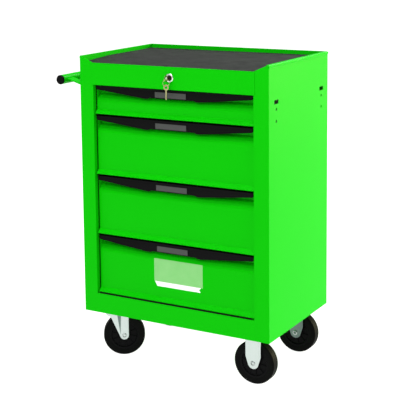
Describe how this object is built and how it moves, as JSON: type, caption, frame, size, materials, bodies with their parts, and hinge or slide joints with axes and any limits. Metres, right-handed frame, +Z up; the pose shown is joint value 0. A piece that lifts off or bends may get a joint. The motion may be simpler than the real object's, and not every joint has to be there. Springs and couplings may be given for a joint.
{
  "type": "rolling tool chest",
  "caption": "Green steel rolling tool chest: sliding drawers with full-width black pulls, a lowered-front worktop with a mat, a side push handle, a keyed lock, and swivel and fixed casters.",
  "frame": {"origin": "on the floor, at the middle of the outline's width and depth", "axes": "+X to the chest's right, +Y to its back, +Z up"},
  "size_m": [0.7127, 0.4314, 0.915],
  "materials": {
    "green_paint": "glossy powder coat",
    "mat_rubber": "matt fine-textured rubber",
    "black_plastic": "satin moulded plastic",
    "tyre_rubber": "matt rubber",
    "zinc_steel": "bright zinc plate",
    "fastener_steel": "zinc-plated fasteners",
    "lock_chrome": "polished",
    "key_nickel": "nickel plate"
  },
  "bodies": {
    "cabinet": {"side_panel_left": "green_paint", "side_panel_right": "green_paint", "back_panel": "green_paint", "bottom_panel": "green_paint", "top_tray": "green_paint", "top_rail": "green_paint", "bottom_rail": "green_paint", "top_mat": "mat_rubber", "slide_uprights": "zinc_steel", "slide_outer_1": "zinc_steel", "slide_outer_2": "zinc_steel", "slide_outer_3": "zinc_steel", "slide_outer_4": "zinc_steel", "lock_housing": "lock_chrome", "handle_tube": "green_paint", "handle_brackets": "green_paint", "handle_end_caps": "black_plastic", "bracket_bolts": "fastener_steel", "swivel_plates": "zinc_steel", "rigid_fork_front": "zinc_steel", "rigid_fork_back": "zinc_steel", "rigid_axles": "fastener_steel", "caster_bolts": "fastener_steel"},
    "drawer_1": {"drawer_box_1": "green_paint", "drawer_front_1": "green_paint", "drawer_handle_1": "black_plastic", "slide_inner_1": "zinc_steel"},
    "drawer_2": {"drawer_box_2": "green_paint", "drawer_front_2": "green_paint", "drawer_handle_2": "black_plastic", "slide_inner_2": "zinc_steel"},
    "drawer_3": {"drawer_box_3": "green_paint", "drawer_front_3": "green_paint", "drawer_handle_3": "black_plastic", "slide_inner_3": "zinc_steel"},
    "drawer_4": {"drawer_box_4": "green_paint", "drawer_front_4": "green_paint", "drawer_handle_4": "black_plastic", "slide_inner_4": "zinc_steel"},
    "slide_1": {"slide_mid_1": "zinc_steel"},
    "slide_2": {"slide_mid_2": "zinc_steel"},
    "slide_3": {"slide_mid_3": "zinc_steel"},
    "slide_4": {"slide_mid_4": "zinc_steel"},
    "swivel_front": {"swivel_fork_front": "zinc_steel", "swivel_axle_front": "fastener_steel"},
    "swivel_back": {"swivel_fork_back": "zinc_steel", "swivel_axle_back": "fastener_steel"},
    "wheel_front_left": {"tyre_front_left": "tyre_rubber", "hub_front_left": "black_plastic"},
    "wheel_back_left": {"tyre_back_left": "tyre_rubber", "hub_back_left": "black_plastic"},
    "wheel_front_right": {"tyre_front_right": "tyre_rubber", "hub_front_right": "black_plastic"},
    "wheel_back_right": {"tyre_back_right": "tyre_rubber", "hub_back_right": "black_plastic"},
    "lock": {"lock_cylinder": "lock_chrome", "key": "key_nickel"},
    "bar": {"lock_bar": "zinc_steel"},
    "ring": {"key_ring": "key_nickel"},
    "spare": {"spare_key": "key_nickel"}
  },
  "joints": [
    {"name": "drawer_slide_1", "type": "slide", "parent": "cabinet", "child": "drawer_1", "axis": [0, -1, 0], "range_m": [0, 0.3]},
    {"name": "drawer_slide_2", "type": "slide", "parent": "cabinet", "child": "drawer_2", "axis": [0, -1, 0], "range_m": [0, 0.3]},
    {"name": "drawer_slide_3", "type": "slide", "parent": "cabinet", "child": "drawer_3", "axis": [0, -1, 0], "range_m": [0, 0.3]},
    {"name": "drawer_slide_4", "type": "slide", "parent": "cabinet", "child": "drawer_4", "axis": [0, -1, 0], "range_m": [0, 0.3]},
    {"name": "rail_slide_1", "type": "slide", "parent": "cabinet", "child": "slide_1", "axis": [0, -1, 0], "range_m": [0, 0.15]},
    {"name": "rail_slide_2", "type": "slide", "parent": "cabinet", "child": "slide_2", "axis": [0, -1, 0], "range_m": [0, 0.15]},
    {"name": "rail_slide_3", "type": "slide", "parent": "cabinet", "child": "slide_3", "axis": [0, -1, 0], "range_m": [0, 0.15]},
    {"name": "rail_slide_4", "type": "slide", "parent": "cabinet", "child": "slide_4", "axis": [0, -1, 0], "range_m": [0, 0.15]},
    {"name": "swivel_front_turn", "type": "hinge", "parent": "cabinet", "child": "swivel_front", "pos_m": [-0.19115, -0.12875, 0.136], "axis": [0, 0, 1], "continuous": true},
    {"name": "swivel_back_turn", "type": "hinge", "parent": "cabinet", "child": "swivel_back", "pos_m": [-0.19115, 0.15725, 0.136], "axis": [0, 0, 1], "continuous": true},
    {"name": "wheel_front_left_roll", "type": "hinge", "parent": "swivel_front", "child": "wheel_front_left", "pos_m": [-0.16809, -0.11377, 0.0625], "axis": [-0.5446, 0.8387, 0], "continuous": true},
    {"name": "wheel_back_left_roll", "type": "hinge", "parent": "swivel_back", "child": "wheel_back_left", "pos_m": [-0.16809, 0.17223, 0.0625], "axis": [-0.5446, 0.8387, 0], "continuous": true},
    {"name": "wheel_front_right_roll", "type": "hinge", "parent": "cabinet", "child": "wheel_front_right", "pos_m": [0.28585, -0.12875, 0.0625], "axis": [0, 1, 0], "continuous": true},
    {"name": "wheel_back_right_roll", "type": "hinge", "parent": "cabinet", "child": "wheel_back_right", "pos_m": [0.28585, 0.15725, 0.0625], "axis": [0, 1, 0], "continuous": true},
    {"name": "lock_turn", "type": "hinge", "parent": "cabinet", "child": "lock", "pos_m": [0.04735, -0.18575, 0.865], "axis": [0, 1, 0], "range_deg": [0, 90]},
    {"name": "bar_slide", "type": "slide", "parent": "cabinet", "child": "bar", "axis": [0, 0, -1], "range_m": [0, 0.01]},
    {"name": "ring_swing", "type": "hinge", "parent": "lock", "child": "ring", "pos_m": [0.04735, -0.20625, 0.8625], "axis": [1, 0, 0], "range_deg": [-30, 8]},
    {"name": "spare_swing", "type": "hinge", "parent": "ring", "child": "spare", "pos_m": [0.04735, -0.20625, 0.8435], "axis": [0.7071, 0.7071, 0], "range_deg": [-8, 8]}
  ],
  "couplings": [
    {"joint": "rail_slide_1", "follows": "drawer_slide_1", "ratio": 0.5},
    {"joint": "rail_slide_2", "follows": "drawer_slide_2", "ratio": 0.5},
    {"joint": "rail_slide_3", "follows": "drawer_slide_3", "ratio": 0.5},
    {"joint": "rail_slide_4", "follows": "drawer_slide_4", "ratio": 0.5},
    {"joint": "lock_turn", "follows": "bar_slide", "rad_per_m": 157.08}
  ]
}
